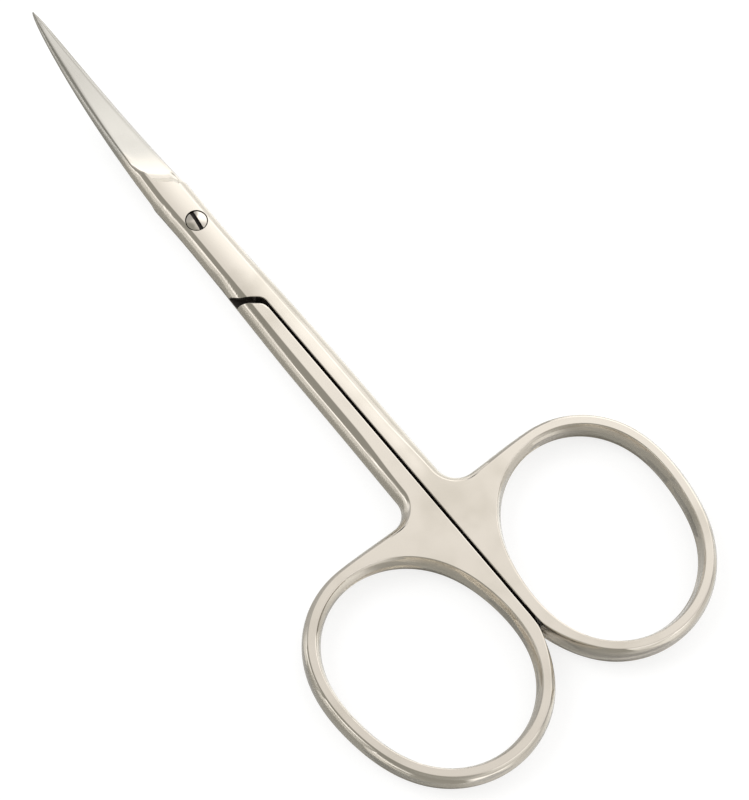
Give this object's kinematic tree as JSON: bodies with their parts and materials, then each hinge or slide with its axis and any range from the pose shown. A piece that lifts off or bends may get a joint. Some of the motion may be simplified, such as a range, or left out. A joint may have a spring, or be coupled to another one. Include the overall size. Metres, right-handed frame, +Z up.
{
  "type": "cuticle scissors",
  "caption": "Small curved cuticle scissors with a half-lap joint, a slotted pivot screw and oval finger rings.",
  "frame": {"origin": "centre of the bounding box at its lowest plane, the surface on which the closed scissors lie", "axes": "+Z up, +Y from the finger rings to the tips along the parting line, +X to the ring of the upper half"},
  "size_m": [0.0428, 0.0898, 0.0075],
  "materials": {
    "polished_steel": "mirror-polished nickel-plated steel",
    "screw_steel": "polished nickel-plated steel"
  },
  "bodies": {
    "lower": {"lower_half": "polished_steel", "pivot_screw": "screw_steel"},
    "upper": {"upper_half": "polished_steel"}
  },
  "joints": [
    {"name": "pivot", "type": "hinge", "parent": "lower", "child": "upper", "pos_m": [0, 0.01799, 0.00175], "axis": [0, 0, 1], "range_deg": [0, 145]}
  ]
}
